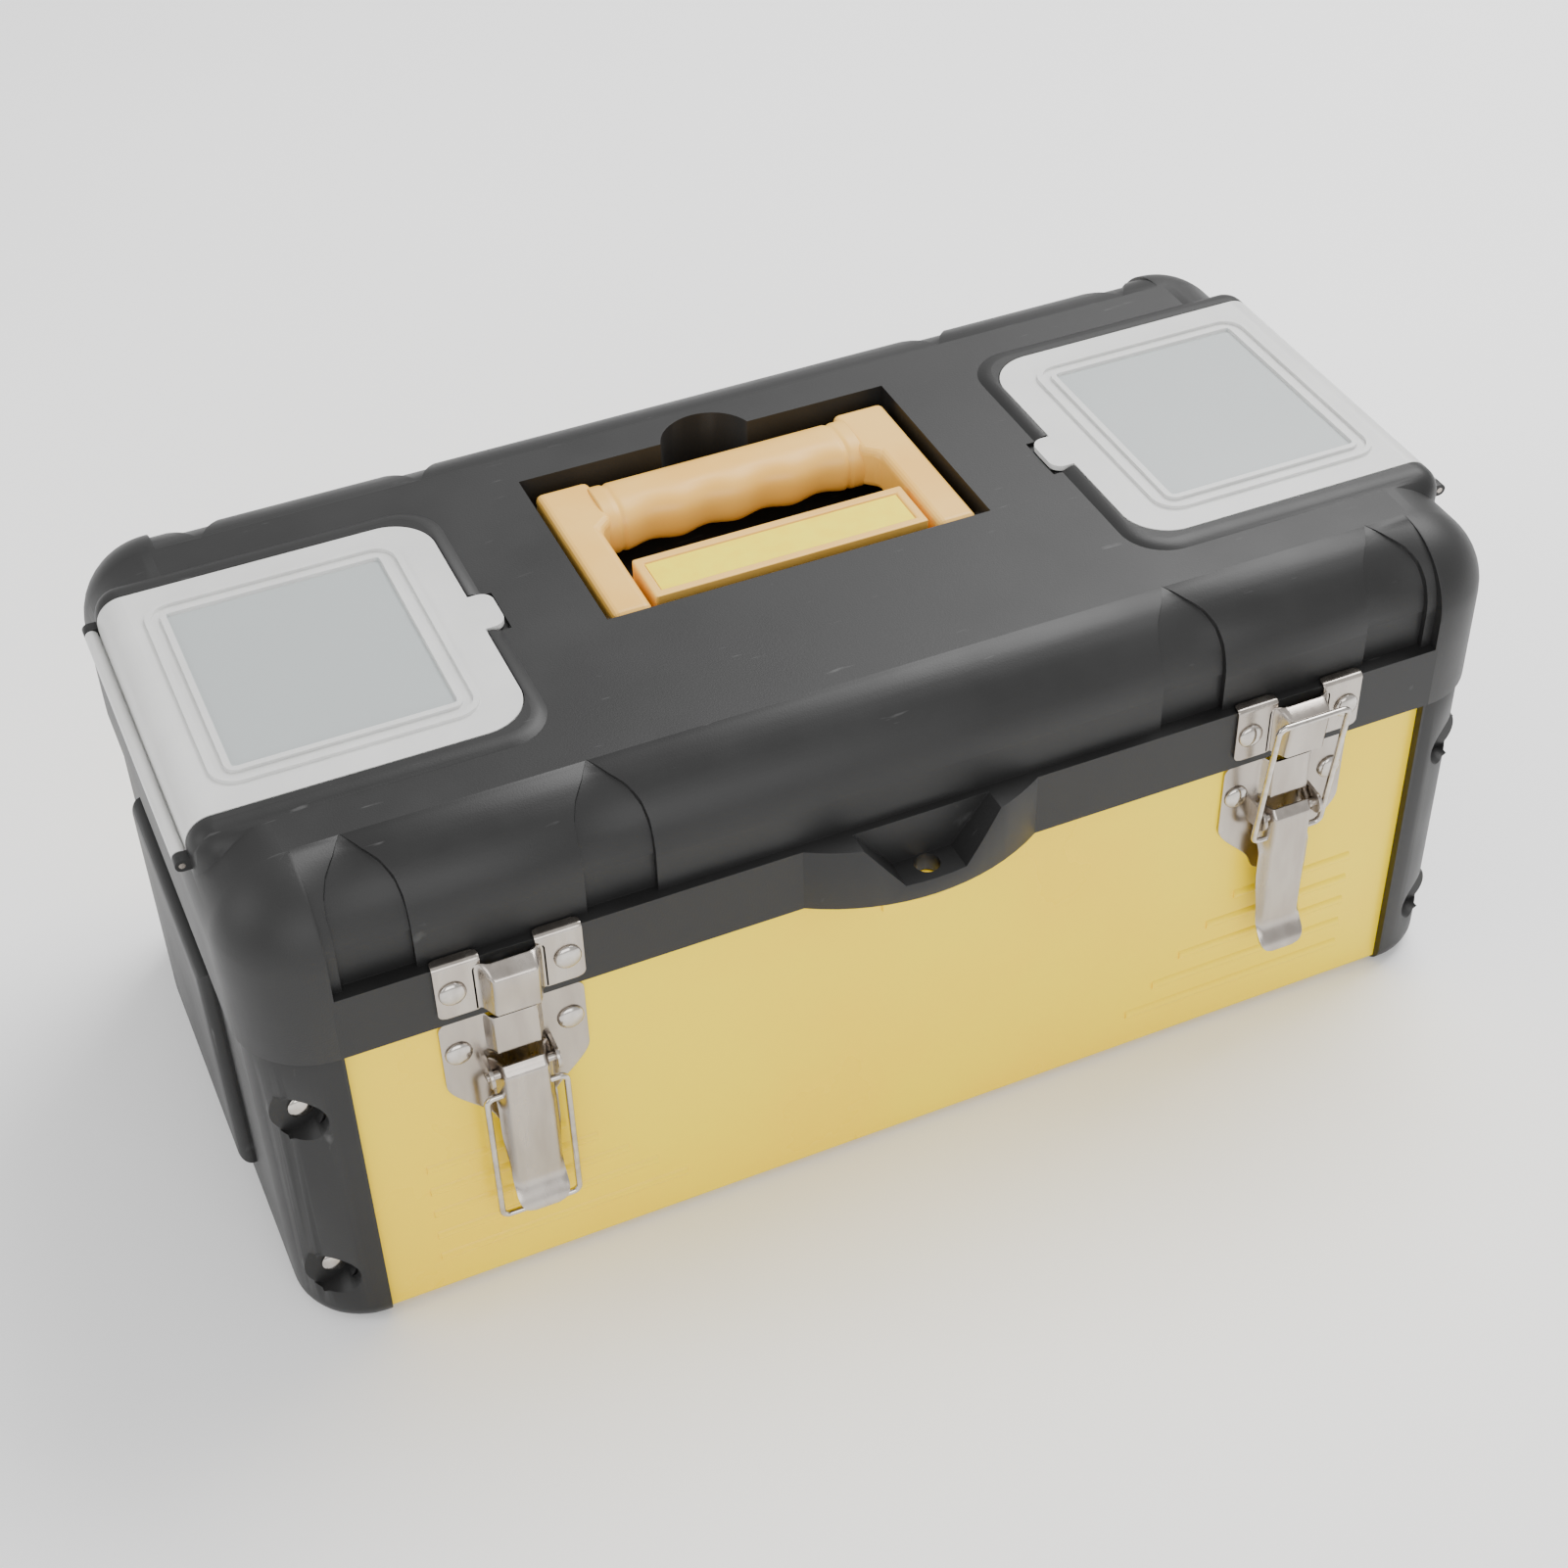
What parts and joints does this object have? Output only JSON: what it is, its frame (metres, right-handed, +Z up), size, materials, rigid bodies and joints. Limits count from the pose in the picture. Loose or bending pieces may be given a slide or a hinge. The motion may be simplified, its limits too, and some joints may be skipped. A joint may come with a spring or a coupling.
{
  "type": "toolbox with tray",
  "caption": "Rectangular tool box with a ribbed sheet-steel trough between moulded end caps, a hinged moulded lid with folding handle and covered wells, draw latches and a lift-out tray.",
  "frame": {"origin": "on the floor, at the middle of the overall box: half way between the padlock tab and the hinge knuckles", "axes": "+X along the box to the right, +Y to the hinges at the back, +Z up"},
  "size_m": [0.442, 0.234, 0.1904],
  "materials": {
    "black_pp": "moulded polypropylene, fine texture",
    "yellow_paint": "gloss powder coat",
    "tan_pp": "moulded polypropylene",
    "yellow_card": "printed card, blank",
    "clear_pp": "natural translucent polypropylene",
    "nickel_steel": "nickel plated"
  },
  "bodies": {
    "base": {"body_shell": "yellow_paint", "right_end_cap": "black_pp", "left_end_cap": "black_pp", "right_cap_rivets": "nickel_steel", "left_cap_rivets": "nickel_steel", "hasp_eye": "yellow_paint", "right_latch_base": "nickel_steel", "left_latch_base": "nickel_steel", "right_latch_rivets": "nickel_steel", "left_latch_rivets": "nickel_steel", "right_lever_pin": "nickel_steel", "left_lever_pin": "nickel_steel", "right_hinge_body_leaf": "nickel_steel", "left_hinge_body_leaf": "nickel_steel", "right_hinge_pin": "nickel_steel", "left_hinge_pin": "nickel_steel", "hinge_body_rivets": "nickel_steel"},
    "lid": {"lid_shell": "black_pp", "right_cover_pin": "nickel_steel", "left_cover_pin": "nickel_steel", "right_well_divider": "black_pp", "left_well_divider": "black_pp", "handle_pins": "nickel_steel", "label_plate": "tan_pp", "label_card": "yellow_card", "right_keeper": "nickel_steel", "left_keeper": "nickel_steel", "right_keeper_rivets": "nickel_steel", "left_keeper_rivets": "nickel_steel", "right_hinge_lid_leaf": "nickel_steel", "left_hinge_lid_leaf": "nickel_steel", "hinge_lid_rivets": "nickel_steel"},
    "carry_handle": {"handle": "tan_pp"},
    "right_cover": {"right_organizer_lid": "clear_pp"},
    "left_cover": {"left_organizer_lid": "clear_pp"},
    "right_lever": {"right_latch_lever": "nickel_steel"},
    "left_lever": {"left_latch_lever": "nickel_steel"},
    "right_wire": {"right_bail": "nickel_steel"},
    "left_wire": {"left_bail": "nickel_steel"},
    "tray": {"tray_tub": "black_pp", "tray_dividers": "black_pp", "tray_handle": "black_pp"}
  },
  "joints": [
    {"name": "lid_hinge", "type": "hinge", "parent": "base", "child": "lid", "pos_m": [0, 0.114, 0.127], "axis": [-1, 0, 0], "range_deg": [0, 100]},
    {"name": "handle_fold", "type": "hinge", "parent": "lid", "child": "carry_handle", "pos_m": [0, -0.006, 0.1775], "axis": [1, 0, 0], "range_deg": [0, 90]},
    {"name": "right_cover_hinge", "type": "hinge", "parent": "lid", "child": "right_cover", "pos_m": [0.2186, 0.0025, 0.177], "axis": [0, 1, 0], "range_deg": [0, 120]},
    {"name": "left_cover_hinge", "type": "hinge", "parent": "lid", "child": "left_cover", "pos_m": [-0.2186, 0.0025, 0.177], "axis": [0, -1, 0], "range_deg": [0, 120]},
    {"name": "right_lever_pivot", "type": "hinge", "parent": "base", "child": "right_lever", "pos_m": [0.1372, -0.108, 0.101], "axis": [-1, 0, 0], "range_deg": [0, 100]},
    {"name": "left_lever_pivot", "type": "hinge", "parent": "base", "child": "left_lever", "pos_m": [-0.1372, -0.108, 0.101], "axis": [-1, 0, 0], "range_deg": [0, 100]},
    {"name": "right_bail_pivot", "type": "hinge", "parent": "right_lever", "child": "right_wire", "pos_m": [0.1372, -0.1087, 0.092], "axis": [1, 0, 0], "range_deg": [0, 120]},
    {"name": "left_bail_pivot", "type": "hinge", "parent": "left_lever", "child": "left_wire", "pos_m": [-0.1372, -0.1087, 0.092], "axis": [-1, 0, 0], "range_deg": [0, 80]},
    {"name": "tray_lift", "type": "slide", "parent": "base", "child": "tray", "axis": [0, 0, 1], "range_m": [0, 0.02]}
  ],
  "couplings": [
    {"joint": "right_bail_pivot", "follows": "right_lever_pivot", "ratio": 1.2}
  ]
}
